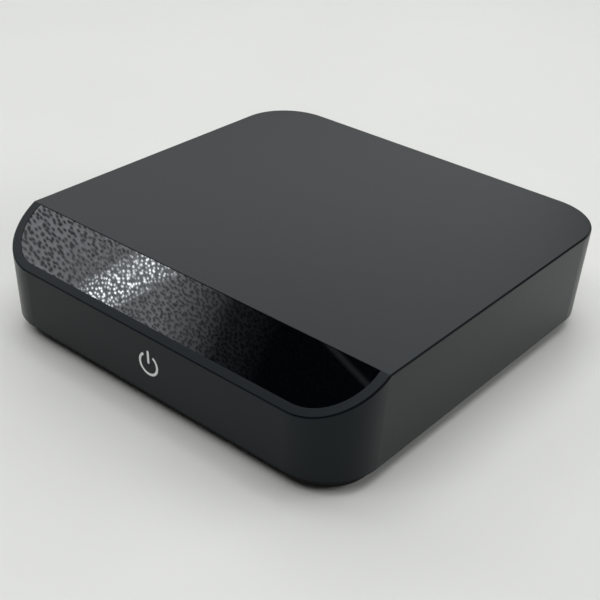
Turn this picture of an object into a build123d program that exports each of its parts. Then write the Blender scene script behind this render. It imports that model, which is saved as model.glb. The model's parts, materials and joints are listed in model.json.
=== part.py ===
from build123d import *
import os
from math import cos, radians, sin, sqrt, tan

# Compact network streamer: a square block with round corners and a sloped glossy front.
# Millimetres, +Z up, front towards -Y, origin on the floor under the middle of the body.

# Whole body
body_width = 143.0
body_depth = 143.0
body_height = 36.5
corner_radius = 19.2
draft_angle = 2.5
edge_round = 0.6
slope_lead = 0.6
slope_angle = 29.0
shell_lift = 5.4
wall = 2.2
roof = 2.2
overrun = 1.0

# Touch panel in its recess on the slope
rim_side = 3.4
rim_front = 3.0
panel_corner_share = 0.95
panel_sink = 0.15
panel_thick = 1.5
panel_gap = 0.12
film_thick = 0.2
film_margin = 2.0
recess_floor = 1.6

# Rubber feet
foot_radius = 6.5
foot_proud = 1.0
foot_pocket = 0.8
foot_gap = 0.1
foot_edge = 0.3
foot_inset = 17.5

# Base plate: a tray set in from the shell's lower edge
base_inset = 3.2
base_clear = 0.3
tray_floor = 2.0
tray_wall = 1.8
lip_rise = 2.4
base_edge = 0.3
pad_side = 10.0
pad_rise = 2.0
vent_length = 22.0
vent_width = 2.0
vent_pitch = 5.0
vent_rows = 7

# Housing bosses and the base screws that run into them
boss_inset_x = 13.5
boss_inset_y = 33.5
boss_radius = 3.5
boss_rib = 1.6
boss_rib_rise = 14.0
base_screw_radius = 1.4
base_screw_grip = 8.0
base_screw_head_radius = 2.6
base_screw_head = 1.6
base_screw_sink = 2.2
screw_gap = 0.05
head_gap = 0.25

# Main board on its standoffs
board_thick = 1.6
board_setback = 14.3
board_gap = 1.5
board_back_gap = 0.4
board_margin = 0.6
standoff_rise = 6.0
standoff_radius = 3.0
board_hole_side = 4.0
board_hole_front = 4.4
board_hole_back = 20.6
board_screw_radius = 1.2
board_screw_grip = 4.5
board_screw_head_radius = 2.3
board_screw_head = 1.5

# Rear panel, its screws and the bay that it closes
rear_panel_thick = 1.2
rear_panel_overlap = 2.0
rear_panel_sink = 9.3
rear_panel_gap = 0.15
bay_wall = 1.6
bay_corner = 1.5
bay_drop = 0.7
bay_headroom_share = 0.21
bay_share = 0.563
sill_gap = 0.15
lug_width = 6.0
lug_depth = 6.0
lug_gap_share = 0.069
lug_rise = 3.5
rear_screw_radius = 1.2
rear_screw_grip = 4.5
rear_screw_head_radius = 2.3
rear_screw_head = 1.5

# Row of sockets at the rear edge of the main board
row_gap_share = 0.15
mouth_proud = 0.4
cutout_gap = 0.3

# Ethernet jack
ethernet_width = 16.0
ethernet_height = 13.4
ethernet_depth = 21.3
ethernet_port_width = 11.9
ethernet_port_height = 7.0
ethernet_port_depth = 13.0
ethernet_port_sill = 4.2
latch_width = 6.4
latch_depth = 1.6
latch_key_width = 3.4
latch_key_depth = 1.4
contact_count = 8
contact_pitch = 1.02
contact_width = 0.4
contact_thick = 0.3
contact_drop = 1.6
contact_reach = 9.4
contact_flat = 2.4

# USB port
usb_width = 13.1
usb_height = 5.7
usb_depth = 14.0
usb_wall = 0.3
usb_block = 4.6
usb_gap = 0.05
usb_tongue_width = 11.1
usb_tongue_thick = 1.9
usb_tongue_length = 8.8
usb_tongue_rise = 0.8

# Optical socket with its sprung shutter
optical_width = 10.8
optical_height = 11.2
optical_depth = 14.0
optical_port_width = 8.4
optical_port_height = 8.7
optical_port_depth = 11.0
optical_port_sill = 1.3
shutter_thick = 0.8
shutter_recess = 0.5
shutter_gap = 0.2
shutter_pin_radius = 0.5
shutter_pin_gap = 0.05
shutter_pin_seat = 0.02
shutter_pin_end = 0.6
shutter_knuckle_radius = 1.0
shutter_spring_width = 2.8
shutter_spring_wire = 0.3
shutter_spring_gap = 0.3
shutter_spring_leg = 3.0
emitter_radius = 1.4
emitter_length = 2.0

# Round audio sockets
phono_width = 10.5
phono_pitch = 12.0
phono_height = 13.6
phono_depth = 10.0
phono_rise = 7.4
sleeve_radius = 4.15
sleeve_wall = 0.7
sleeve_length = 10.0
sleeve_gap = 0.05
insert_length = 9.4
contact_bore = 1.65
contact_wall = 0.3
contact_length = 8.0

# Power socket
dc_width = 9.0
dc_height = 11.0
dc_depth = 14.0
dc_rise = 6.6
dc_bore = 3.1
dc_bore_depth = 9.5
dc_pin_radius = 1.0
dc_pin_length = 8.6

# Touch board behind the slope
stub_rise = 2.0
stub_radius = 2.2
stub_inset = 4.0
touch_board_length = 96.0
touch_board_width = 11.0
touch_board_thick = 1.0
touch_screw_radius = 0.9
touch_screw_grip = 3.0
touch_screw_head_radius = 1.7
touch_screw_head = 1.1
window_length = 62.0
window_width = 4.0
guide_gap = 0.15
guide_flange = 1.5
guide_flange_thick = 0.9
led_count = 7
led_pitch = 8.6
led_length = 1.6
led_width = 0.8
led_height = 0.7
sensor_offset = 36.5
sensor_hole = 2.0
sensor_length = 4.0
sensor_width = 2.4
sensor_height = 1.2
receiver_length = 5.0
receiver_width = 3.8
receiver_height = 1.6
controller_side = 6.0
controller_height = 0.9
controller_offset = 20.0

# Ribbon cable between the touch board and the main board
ribbon_width = 10.0
ribbon_thick = 0.3
ribbon_socket_length = 14.0
ribbon_socket_width = 4.0
ribbon_socket_height = 2.0
ribbon_socket_inset = 1.4
ribbon_lead_out = 5.5
ribbon_lead_in = 6.0
ribbon_bend = 3.0

# Chips and parts on the main board, in columns placed by shares of its width
analog_column_share = -0.377
memory_column_share = -0.19
processor_column_share = 0.075
power_column_share = 0.36
processor_side = 15.0
processor_height = 1.4
pad_thick = 1.0
spreader_gap = 5.0
spreader_base = 2.0
fin_count = 9
fin_thick = 1.2
fin_height = 9.0
memory_width = 9.0
memory_depth = 13.0
memory_height = 1.1
flash_width = 11.0
flash_depth = 13.0
flash_height = 1.1
power_width = 5.0
power_depth = 6.0
power_height = 1.2
converter_side = 9.0
converter_height = 1.2
crystal_width = 5.0
crystal_depth = 3.2
crystal_height = 1.2
coil_side = 7.0
coil_height = 4.2
capacitor_radius = 3.15
capacitor_height = 7.7
capacitor_gap = 1.1
chip_edge = 0.2

# Wireless module, its antennas and leads
wireless_width = 22.0
wireless_depth = 18.0
wireless_thick = 1.0
wireless_inset = 8.6
shield_width = 20.0
shield_height = 2.2
shield_setback = 2.0
plug_strip = 4.0
antenna_width = 10.0
antenna_length = 40.0
antenna_thick = 0.6
antenna_inset = 19.0
lead_radius = 0.55
lead_sides = 6
lead_plug_radius = 1.3
lead_plug_height = 1.2
lead_spread = 6.0
lead_setback = 1.7
lead_rise_share = 0.54
lead_climb_share = 0.14
lead_bend_share = 0.22

# Heights and planes worked out from the sizes above
slope_sin = sin(radians(slope_angle))
slope_cos = cos(radians(slope_angle))
draft_tan = tan(radians(draft_angle))
slope_run = corner_radius + slope_lead
crease_y = -(body_depth / 2 - slope_run)
panel_front_y = -(body_depth / 2 - rim_front)
panel_half = body_width / 2 - rim_side
recess_depth = panel_sink + panel_thick + film_thick
floor_under = recess_depth + recess_floor
mid_slope = (panel_front_y - crease_y) / 2 / slope_cos
slope_plane = Plane((0, crease_y, body_height), x_dir=(1, 0, 0), z_dir=(0, -slope_sin, slope_cos))
ceiling = body_height - roof
shell_inset = (body_height - shell_lift) * draft_tan
base_width = body_width - 2 * (shell_inset + base_inset)
base_depth = body_depth - 2 * (shell_inset + base_inset)
base_corner = corner_radius - shell_inset - base_inset
tray_top = foot_proud + tray_floor
pad_top = tray_top + pad_rise
lip_top = shell_lift + lip_rise
boss_x = body_width / 2 - boss_inset_x
boss_y = body_depth / 2 - boss_inset_y
rear_inner = base_depth / 2 + base_clear
rear_wall = body_depth / 2 - shell_inset - rear_inner
rear_face = body_depth / 2 - rear_panel_sink
rear_panel_inner = rear_face - rear_panel_thick
mouth_y = rear_face + mouth_proud
board_low = tray_top + standoff_rise
board_top = board_low + board_thick
board_side = boss_x - boss_radius - board_gap
board_rear = rear_panel_inner - board_back_gap
board_front = crease_y + board_setback
board_depth = board_rear - board_front
board_mid = (board_rear + board_front) / 2
bay_bottom = board_top - bay_drop
jack_top = board_top + ethernet_height
bay_top = jack_top + bay_headroom_share * (ceiling - jack_top)
bay_mid = (bay_bottom + bay_top) / 2
bay_inner = rear_face + rear_panel_gap
bay_foot = lip_top + sill_gap
field_rear = mouth_y - ethernet_depth
board_width = 2 * board_side

# Places along the row of sockets, from the power socket at +X to the audio sockets at -X
analog_width = phono_width + phono_pitch
row = {
    "dc": dc_width,
    "ethernet": ethernet_width,
    "usb": usb_width,
    "optical": optical_width,
    "coax": phono_width,
    "analog": analog_width,
}
# The bay takes a share of the room between the round corners, and the row's gaps take what it has to spare
cavity_corner = corner_radius - wall - (ceiling - tray_top) * draft_tan
corner_step = rear_face - (body_depth / 2 - corner_radius)
room_half = body_width / 2 - corner_radius + sqrt(cavity_corner**2 - corner_step**2) - rear_panel_overlap
content_half = sum(row.values()) / 2 + lug_width
bay_half = content_half + bay_share * (room_half - content_half)
bay_spare = 2 * (bay_half - content_half)
row_gap = row_gap_share * bay_spare
row_half = (sum(row.values()) + row_gap * (len(row) - 1)) / 2
row_x = {}
row_edge = row_half
for socket_name, socket_width in row.items():
    row_x[socket_name] = row_edge - socket_width / 2
    row_edge = row_edge - socket_width - row_gap
lug_x = row_half + lug_gap_share * bay_spare + lug_width / 2
rear_panel_half = bay_half + rear_panel_overlap
phono_z = board_top + phono_rise
phono_x = {
    "coax": row_x["coax"],
    "left": row_x["analog"] + phono_pitch / 2,
    "right": row_x["analog"] - phono_pitch / 2,
}

os.makedirs("parts", exist_ok=True)


def save(builder, name):
    """Label a finished piece and write it."""
    builder.part.label = name
    export_step(builder.part, f"parts/{name}.step")


def slope_at(depth):
    """Plane parallel to the slope, this far below its surface and facing out of it."""
    return slope_plane.offset(-depth)


def under_slope(depth):
    """The same plane, facing into the body."""
    level = slope_at(depth)
    return Plane(level.origin, x_dir=level.x_dir, z_dir=-level.z_dir)


def rear_plane(y):
    """Upright plane at this depth, with X and Z as its own axes, that extrudes towards the front."""
    return Plane((0, y, 0), x_dir=(1, 0, 0), z_dir=(0, -1, 0))


def column(x, depths):
    """Places of parts that stand one behind the other on the main board, with equal gaps."""
    gap = (field_rear - board_front - sum(depths)) / (len(depths) + 1)
    places = []
    front = board_front
    for depth in depths:
        places.append((x, front + gap + depth / 2))
        front = front + gap + depth
    return places


def panel_outline(gap):
    """Plan of the touch panel: straight along the crease, round at both front corners."""
    length = crease_y - panel_front_y - 2 * gap
    with BuildSketch() as outline:
        with Locations((0, (crease_y + panel_front_y) / 2)):
            Rectangle(2 * (panel_half - gap), length)
        fillet(outline.vertices().group_by(Axis.Y)[0], panel_corner_share * length)
    return outline.sketch


def slope_sheet(gap, top, thick):
    """A sheet that lies in the slope, cut to the panel's plan and drawn straight up."""
    with BuildPart() as sheet:
        extrude(panel_outline(gap), amount=body_height + overrun)
        split(bisect_by=slope_at(top), keep=Keep.BOTTOM)
        split(bisect_by=slope_at(top + thick), keep=Keep.TOP)
    return sheet


def screws(seat, places, radius, grip, head_radius, head):
    """A group of pan-head screws: heads stand on the seat plane and shanks run below it."""
    with BuildPart() as group:
        with BuildSketch(seat):
            with Locations(*places):
                Circle(radius)
        extrude(amount=-grip)
        with BuildSketch(seat):
            with Locations(*places):
                Circle(head_radius)
        extrude(amount=head)
    return group


def chips(places, width, depth, height, seat=board_top):
    """A group of moulded chips that stand on a board, with their top edges broken."""
    with BuildPart() as group:
        with BuildSketch(Plane.XY.offset(seat)):
            with Locations(*places):
                Rectangle(width, depth)
        extrude(amount=height)
        chamfer(group.faces().group_by(Axis.Z)[-1].edges(), chip_edge)
    return group


def slope_chips(plane, places, width, depth, height):
    """The same for small parts on the touch board, on one of its two faces."""
    with BuildPart() as group:
        with BuildSketch(plane):
            with Locations(*places):
                Rectangle(width, depth)
        extrude(amount=height)
    return group


def corner_places(x, y):
    """Four places at the corners of a rectangle about the origin."""
    return [(-x, -y), (x, -y), (-x, y), (x, y)]


# Housing: drafted shell with a sloped front, a rimmed recess, bosses and a rear bay
with BuildPart() as cavity:
    with BuildSketch(Plane.XY.offset(ceiling)):
        RectangleRounded(body_width - 2 * wall, body_depth - 2 * wall, corner_radius - wall)
    extrude(amount=-(ceiling - shell_lift + overrun), taper=draft_angle)
    split(bisect_by=slope_at(floor_under), keep=Keep.BOTTOM)
    split(bisect_by=rear_plane(rear_inner), keep=Keep.TOP)

with BuildPart() as recess:
    extrude(panel_outline(0), amount=body_height + overrun)
    split(bisect_by=slope_at(recess_depth), keep=Keep.TOP)

stub_x = touch_board_length / 2 - stub_inset
stub_places = [(-stub_x, mid_slope), (stub_x, mid_slope)]
bay_opening = bay_top - shell_lift + overrun
with BuildPart() as housing:
    with BuildSketch(Plane.XY.offset(body_height)):
        RectangleRounded(body_width, body_depth, corner_radius)
    extrude(amount=-(body_height - shell_lift), taper=draft_angle)
    split(bisect_by=slope_plane, keep=Keep.BOTTOM)
    upper = housing.faces().filter_by(Axis.Z).sort_by(Axis.Z)[-1].edges()
    sloped = housing.faces().filter_by(slope_plane).edges()
    fillet(upper + sloped, edge_round)
    add(recess.part, mode=Mode.SUBTRACT)
    add(cavity.part, mode=Mode.SUBTRACT)
    # Walls of the rear bay, from the rear wall in to the rear panel
    with BuildSketch(rear_plane(rear_inner + rear_wall / 2)):
        with Locations((0, (bay_foot + bay_top + bay_wall) / 2)):
            Rectangle(2 * (bay_half + bay_wall), bay_top + bay_wall - bay_foot)
    extrude(amount=rear_inner + rear_wall / 2 - bay_inner)
    # Screw bosses with a rib to the side wall
    with BuildSketch(Plane.XY.offset(pad_top)):
        with Locations(*corner_places(boss_x, boss_y)):
            Circle(boss_radius)
    extrude(amount=ceiling + roof / 2 - pad_top)
    rib_run = body_width / 2 - wall - boss_x
    with BuildSketch(Plane.XY.offset(ceiling + roof / 2)):
        with Locations(*corner_places(boss_x + rib_run / 2, boss_y)):
            Rectangle(rib_run, boss_rib)
    extrude(amount=-boss_rib_rise)
    with BuildSketch(Plane.XY.offset(pad_top)):
        with Locations(*corner_places(boss_x, boss_y)):
            Circle(base_screw_radius + screw_gap)
    extrude(amount=base_screw_grip, mode=Mode.SUBTRACT)
    # Stubs for the touch board, on the underside of the recess
    with BuildSketch(slope_at(floor_under + stub_rise)):
        with Locations(*stub_places):
            Circle(stub_radius)
    extrude(amount=stub_rise + recess_floor / 2)
    with BuildSketch(slope_at(floor_under + stub_rise)):
        with Locations(*stub_places):
            Circle(touch_screw_radius + screw_gap)
    extrude(amount=touch_screw_grip - touch_board_thick, mode=Mode.SUBTRACT)
    # Windows in the recess for the light guide and the two sensors
    with BuildSketch(slope_at(floor_under + overrun)):
        with Locations((0, mid_slope)):
            SlotOverall(window_length, window_width)
        with Locations((-sensor_offset, mid_slope), (sensor_offset, mid_slope)):
            Circle(sensor_hole)
    extrude(amount=recess_floor + 2 * overrun, mode=Mode.SUBTRACT)
    # Rear bay, open at the bottom so that the base and its sockets come in from below
    with BuildSketch(rear_plane(body_depth / 2 + overrun)) as bay:
        with Locations((0, bay_top - bay_opening / 2)):
            Rectangle(2 * bay_half, bay_opening)
        fillet(bay.vertices().group_by(Axis.Y)[-1], bay_corner)
    extrude(amount=body_depth / 2 + 2 * overrun - bay_inner, mode=Mode.SUBTRACT)
save(housing, "housing")

# Touch panel and the sensing film behind it
touch_panel = slope_sheet(panel_gap, panel_sink, panel_thick)
save(touch_panel, "touch_panel")

touch_film = slope_sheet(film_margin, panel_sink + panel_thick, film_thick)
save(touch_film, "touch_film")

# Base plate: tray with a lip, screw pads, board standoffs, lugs for the rear panel and a sill for the bay
sill_depth = body_depth / 2 - shell_inset - bay_inner
foot_places = corner_places(body_width / 2 - foot_inset, body_depth / 2 - foot_inset)
hole_x = board_side - board_hole_side
hole_places = [
    (-hole_x, board_front + board_hole_front),
    (hole_x, board_front + board_hole_front),
    (-hole_x, board_rear - board_hole_back),
    (hole_x, board_rear - board_hole_back),
]
head_hole = base_screw_head_radius + head_gap
lug_y = rear_panel_inner - lug_depth / 2
with BuildPart() as base_plate:
    with BuildSketch(Plane.XY.offset(foot_proud)):
        RectangleRounded(base_width, base_depth, base_corner)
    extrude(amount=lip_top - foot_proud)
    chamfer(base_plate.faces().sort_by(Axis.Z)[0].edges(), base_edge)
    with BuildSketch(Plane.XY.offset(tray_top)):
        RectangleRounded(base_width - 2 * tray_wall, base_depth - 2 * tray_wall, base_corner - tray_wall)
    extrude(amount=lip_top, mode=Mode.SUBTRACT)
    # Sill that closes the rear bay from below, flush with the shell
    with BuildSketch(rear_plane(bay_inner + sill_depth)):
        with Locations((0, (shell_lift + bay_bottom) / 2)):
            Rectangle(2 * (bay_half - sill_gap), bay_bottom - shell_lift)
    extrude(amount=sill_depth)
    # Standoffs, screw pads and lugs on the tray's floor
    with BuildSketch(Plane.XY.offset(tray_top)):
        with Locations(*hole_places):
            Circle(standoff_radius)
    extrude(amount=standoff_rise)
    with BuildSketch(Plane.XY.offset(tray_top)):
        with Locations(*corner_places(boss_x, boss_y)):
            Rectangle(pad_side, pad_side)
    extrude(amount=pad_rise)
    with BuildSketch(Plane.XY.offset(tray_top)):
        with Locations((-lug_x, lug_y), (lug_x, lug_y)):
            Rectangle(lug_width, lug_depth)
    extrude(amount=bay_mid + lug_rise - tray_top)
    # Pockets for the feet, counterbored holes for the base screws, pilot holes and vent slots
    with BuildSketch(Plane.XY.offset(foot_proud)):
        with Locations(*foot_places):
            Circle(foot_radius + foot_gap)
    extrude(amount=foot_pocket, mode=Mode.SUBTRACT)
    with Locations(Plane((0, 0, foot_proud), x_dir=(1, 0, 0), z_dir=(0, 0, -1))):
        with GridLocations(2 * boss_x, 2 * boss_y, 2, 2):
            CounterBoreHole(base_screw_radius + head_gap, head_hole, base_screw_sink)
    with BuildSketch(Plane.XY.offset(board_low)):
        with Locations(*hole_places):
            Circle(board_screw_radius + screw_gap)
    extrude(amount=board_thick - board_screw_grip, mode=Mode.SUBTRACT)
    with BuildSketch(rear_plane(rear_panel_inner)):
        with Locations((-lug_x, bay_mid), (lug_x, bay_mid)):
            Circle(rear_screw_radius + screw_gap)
    extrude(amount=rear_screw_grip - rear_panel_thick, mode=Mode.SUBTRACT)
    with BuildSketch(Plane.XY.offset(foot_proud)):
        with GridLocations(0, vent_pitch, 1, vent_rows):
            Rectangle(vent_length, vent_width)
    extrude(amount=tray_floor, mode=Mode.SUBTRACT)
save(base_plate, "base_plate")

with BuildPart() as rubber_feet:
    with BuildSketch():
        with Locations(*foot_places):
            Circle(foot_radius)
    extrude(amount=foot_proud + foot_pocket)
    chamfer(rubber_feet.faces().group_by(Axis.Z)[0].edges(), foot_edge)
save(rubber_feet, "rubber_feet")

base_seat = Plane((0, 0, foot_proud + base_screw_sink), x_dir=(1, 0, 0), z_dir=(0, 0, -1))
base_grip = pad_top - foot_proud - base_screw_sink + base_screw_grip - screw_gap
base_screws = screws(
    base_seat,
    corner_places(boss_x, boss_y),
    base_screw_radius,
    base_grip,
    base_screw_head_radius,
    base_screw_head,
)
save(base_screws, "base_screws")

# Main board, with a rear strip between the two lugs that carries the row of sockets, and its screws
strip_depth = lug_depth + board_gap
with BuildPart() as main_board:
    with BuildSketch(Plane.XY.offset(board_low)):
        with Locations((0, board_mid - strip_depth / 2)):
            Rectangle(board_width, board_depth - strip_depth)
        with Locations((0, board_mid)):
            Rectangle(2 * (row_half + board_margin), board_depth)
        with Locations(*hole_places):
            Circle(board_screw_radius + head_gap, mode=Mode.SUBTRACT)
    extrude(amount=board_thick)
save(main_board, "main_board")

board_screws = screws(
    Plane.XY.offset(board_top),
    hole_places,
    board_screw_radius,
    board_screw_grip - screw_gap,
    board_screw_head_radius,
    board_screw_head,
)
save(board_screws, "board_screws")

# Rear panel with one cut-out for each socket, and its two screws
ethernet_z = board_top + ethernet_height / 2
usb_z = board_top + usb_height / 2
optical_z = board_top + optical_height / 2
dc_z = board_top + dc_height / 2
square_sockets = [
    (row_x["dc"], dc_z, dc_width, dc_height),
    (row_x["ethernet"], ethernet_z, ethernet_width, ethernet_height),
    (row_x["usb"], usb_z, usb_width, usb_height),
    (row_x["optical"], optical_z, optical_width, optical_height),
]
rear_panel_top = bay_top + rear_panel_overlap
with BuildPart() as rear_panel:
    with BuildSketch(rear_plane(rear_face)):
        with Locations((0, (tray_top + rear_panel_top) / 2)):
            Rectangle(2 * rear_panel_half, rear_panel_top - tray_top)
        for x, z, width, height in square_sockets:
            with Locations((x, z)):
                Rectangle(width + 2 * cutout_gap, height + 2 * cutout_gap, mode=Mode.SUBTRACT)
        with Locations(*[(x, phono_z) for x in phono_x.values()]):
            Circle(sleeve_radius + cutout_gap, mode=Mode.SUBTRACT)
        with Locations((-lug_x, bay_mid), (lug_x, bay_mid)):
            Circle(rear_screw_radius + head_gap, mode=Mode.SUBTRACT)
    extrude(amount=rear_panel_thick)
save(rear_panel, "rear_panel")

rear_panel_screws = screws(
    Plane((0, rear_face, 0), x_dir=(-1, 0, 0), z_dir=(0, 1, 0)),
    [(-lug_x, bay_mid), (lug_x, bay_mid)],
    rear_screw_radius,
    rear_screw_grip - screw_gap,
    rear_screw_head_radius,
    rear_screw_head,
)
save(rear_panel_screws, "rear_panel_screws")

# Ethernet jack: block with a keyed port, and eight sprung contacts along the port's ceiling
port_low = board_top + ethernet_port_sill
port_high = port_low + ethernet_port_height
with BuildPart() as ethernet_jack:
    with BuildSketch(rear_plane(mouth_y)):
        with Locations((row_x["ethernet"], ethernet_z)):
            Rectangle(ethernet_width, ethernet_height)
    extrude(amount=ethernet_depth)
    with BuildSketch(rear_plane(mouth_y)):
        with Locations((row_x["ethernet"], (port_low + port_high) / 2)):
            Rectangle(ethernet_port_width, ethernet_port_height)
        with Locations((row_x["ethernet"], port_low - latch_depth / 2)):
            Rectangle(latch_width, latch_depth)
        with Locations((row_x["ethernet"], port_low - latch_depth - latch_key_depth / 2)):
            Rectangle(latch_key_width, latch_key_depth)
    extrude(amount=ethernet_port_depth, mode=Mode.SUBTRACT)
save(ethernet_jack, "ethernet_jack")

port_end = mouth_y - ethernet_port_depth
contact_low = port_high - contact_drop
first_contact = row_x["ethernet"] - contact_pitch * (contact_count - 1) / 2 - contact_width / 2
with BuildPart() as ethernet_contacts:
    for place in range(contact_count):
        with BuildSketch(Plane.YZ.offset(first_contact + place * contact_pitch)):
            with BuildLine():
                Polyline(
                    (port_end, contact_low),
                    (port_end + contact_flat, contact_low),
                    (port_end + contact_reach, port_high),
                    (port_end + contact_reach, port_high - contact_thick),
                    (port_end + contact_flat, contact_low - contact_thick),
                    (port_end, contact_low - contact_thick),
                    close=True,
                )
            make_face()
        extrude(amount=contact_width)
save(ethernet_contacts, "ethernet_contacts")

# USB port: folded metal shell, and the plastic block with its tongue
usb_inner_width = usb_width - 2 * usb_wall
usb_inner_height = usb_height - 2 * usb_wall
with BuildPart() as usb_port:
    with BuildSketch(rear_plane(mouth_y)):
        with Locations((row_x["usb"], usb_z)):
            Rectangle(usb_width, usb_height)
            Rectangle(usb_inner_width, usb_inner_height, mode=Mode.SUBTRACT)
    extrude(amount=usb_depth)
save(usb_port, "usb_port")

with BuildPart() as usb_tongue:
    with BuildSketch(rear_plane(mouth_y - usb_depth + usb_block)):
        with Locations((row_x["usb"], usb_z)):
            Rectangle(usb_inner_width - 2 * usb_gap, usb_inner_height - 2 * usb_gap)
    extrude(amount=usb_block)
    with BuildSketch(rear_plane(mouth_y - usb_depth + usb_block)):
        with Locations((row_x["usb"], usb_z + usb_tongue_rise)):
            Rectangle(usb_tongue_width, usb_tongue_thick)
    extrude(amount=-usb_tongue_length)
save(usb_tongue, "usb_tongue")

# Optical socket: block with a square port, a flap that swings in on a pin, its spring and the emitter
optical_x = row_x["optical"]
optical_low = board_top + optical_port_sill
optical_high = optical_low + optical_port_height
optical_end = mouth_y - optical_port_depth
pin_y = mouth_y - shutter_recess - shutter_knuckle_radius
pin_z = optical_high - shutter_gap - shutter_knuckle_radius
pin_half = optical_port_width / 2 + shutter_pin_end
shutter_half = optical_port_width / 2 - shutter_gap
knuckle_plane = Plane((optical_x - shutter_half, pin_y, pin_z), x_dir=(0, 1, 0), z_dir=(1, 0, 0))
spring_outer = shutter_pin_radius + shutter_spring_gap + shutter_spring_wire
shutter_back = shutter_knuckle_radius - shutter_thick
shutter_drop = pin_z - optical_low - shutter_gap
with BuildPart() as optical_socket:
    with BuildSketch(rear_plane(mouth_y)):
        with Locations((optical_x, optical_z)):
            Rectangle(optical_width, optical_height)
    extrude(amount=optical_depth)
    with BuildSketch(rear_plane(mouth_y)):
        with Locations((optical_x, (optical_low + optical_high) / 2)):
            Rectangle(optical_port_width, optical_port_height)
    extrude(amount=optical_port_depth, mode=Mode.SUBTRACT)
    with BuildSketch(Plane((optical_x - pin_half, pin_y, pin_z), x_dir=(0, 1, 0), z_dir=(1, 0, 0))):
        Circle(shutter_pin_radius + shutter_pin_seat)
    extrude(amount=2 * pin_half, mode=Mode.SUBTRACT)
save(optical_socket, "optical_socket")

with BuildPart() as optical_shutter:
    with BuildSketch(knuckle_plane):
        Circle(shutter_knuckle_radius)
        with Locations((shutter_knuckle_radius - shutter_thick / 2, -shutter_drop / 2)):
            Rectangle(shutter_thick, shutter_drop)
        Circle(shutter_pin_radius + shutter_pin_gap, mode=Mode.SUBTRACT)
    extrude(amount=2 * shutter_half)
    # Notch in the middle of the knuckle for the spring
    with BuildSketch(knuckle_plane.offset(shutter_half - shutter_spring_width / 2 - shutter_gap)):
        Rectangle(2 * shutter_knuckle_radius + overrun, 2 * (shutter_knuckle_radius + shutter_gap))
    extrude(amount=shutter_spring_width + 2 * shutter_gap, mode=Mode.SUBTRACT)
save(optical_shutter, "optical_shutter")

with BuildPart() as shutter_pin:
    with BuildSketch(Plane((optical_x - pin_half, pin_y, pin_z), x_dir=(0, 1, 0), z_dir=(1, 0, 0))):
        Circle(shutter_pin_radius)
    extrude(amount=2 * pin_half)
save(shutter_pin, "shutter_pin")

spring_start = knuckle_plane.offset(shutter_half - shutter_spring_width / 2)
spring_mid = spring_outer - shutter_spring_wire / 2
with BuildPart() as shutter_spring:
    with BuildSketch(spring_start):
        Circle(spring_outer)
        Circle(spring_outer - shutter_spring_wire, mode=Mode.SUBTRACT)
    extrude(amount=shutter_spring_width)
    # One leg lies along the port's ceiling, the other down the back of the flap
    with BuildSketch(spring_start):
        with Locations((-shutter_spring_leg / 2, optical_high - pin_z - shutter_spring_wire / 2)):
            Rectangle(shutter_spring_leg, shutter_spring_wire)
    extrude(amount=shutter_spring_wire)
    with BuildSketch(spring_start.offset(shutter_spring_width - shutter_spring_wire)):
        with Locations((shutter_back - shutter_spring_wire / 2, -(spring_mid + shutter_spring_leg / 2))):
            Rectangle(shutter_spring_wire, shutter_spring_leg)
    extrude(amount=shutter_spring_wire)
    with BuildSketch(spring_start):
        Circle(spring_outer - shutter_spring_wire)
    extrude(amount=shutter_spring_width, mode=Mode.SUBTRACT)
save(shutter_spring, "shutter_spring")

with BuildPart() as optical_emitter:
    with BuildSketch(rear_plane(optical_end)):
        with Locations((optical_x, (optical_low + pin_z) / 2)):
            Circle(emitter_radius)
    extrude(amount=-emitter_length)
    chamfer(optical_emitter.faces().sort_by(Axis.Y)[-1].edges(), emitter_radius / 2)
save(optical_emitter, "optical_emitter")


# Round audio sockets: plastic block, metal sleeve, coloured insert and centre contact
def phono_block(x, width):
    """Block on the board, behind the rear panel, that carries one or two sleeves."""
    with BuildPart() as block:
        with BuildSketch(rear_plane(rear_panel_inner)):
            with Locations((x, board_top + phono_height / 2)):
                Rectangle(width, phono_height)
        extrude(amount=phono_depth)
        chamfer(block.edges().filter_by(Axis.Y).group_by(Axis.Z)[-1], chip_edge)
    return block


def phono_tubes(places, outer, inner, length):
    """Tubes that stand on the face of a block, one at each place."""
    with BuildPart() as tubes:
        with BuildSketch(rear_plane(rear_panel_inner)):
            with Locations(*[(x, phono_z) for x in places]):
                Circle(outer)
                Circle(inner, mode=Mode.SUBTRACT)
        extrude(amount=-length)
    return tubes


analog_places = [phono_x["left"], phono_x["right"]]
save(phono_block(row_x["coax"], phono_width), "coax_block")
save(phono_block(row_x["analog"], analog_width), "analog_block")
coax_places = [phono_x["coax"]]
sleeve_inner = sleeve_radius - sleeve_wall
insert_radius = sleeve_inner - sleeve_gap
contact_outer = contact_bore - sleeve_gap
contact_inner = contact_bore - contact_wall
save(phono_tubes(coax_places, sleeve_radius, sleeve_inner, sleeve_length), "coax_sleeve")
save(phono_tubes(analog_places, sleeve_radius, sleeve_inner, sleeve_length), "analog_sleeves")
save(phono_tubes(coax_places, contact_outer, contact_inner, contact_length), "coax_contact")
save(phono_tubes(analog_places, contact_outer, contact_inner, contact_length), "analog_contacts")
for insert_name, insert_x in phono_x.items():
    save(phono_tubes([insert_x], insert_radius, contact_bore, insert_length), f"{insert_name}_insert")

# Power socket: block with a round bore and its centre pin
dc_axis = (row_x["dc"], board_top + dc_rise)
with BuildPart() as dc_jack:
    with BuildSketch(rear_plane(mouth_y)):
        with Locations((row_x["dc"], dc_z)):
            Rectangle(dc_width, dc_height)
    extrude(amount=dc_depth)
    with BuildSketch(rear_plane(mouth_y)):
        with Locations(dc_axis):
            Circle(dc_bore)
    extrude(amount=dc_bore_depth, mode=Mode.SUBTRACT)
save(dc_jack, "dc_jack")

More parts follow.
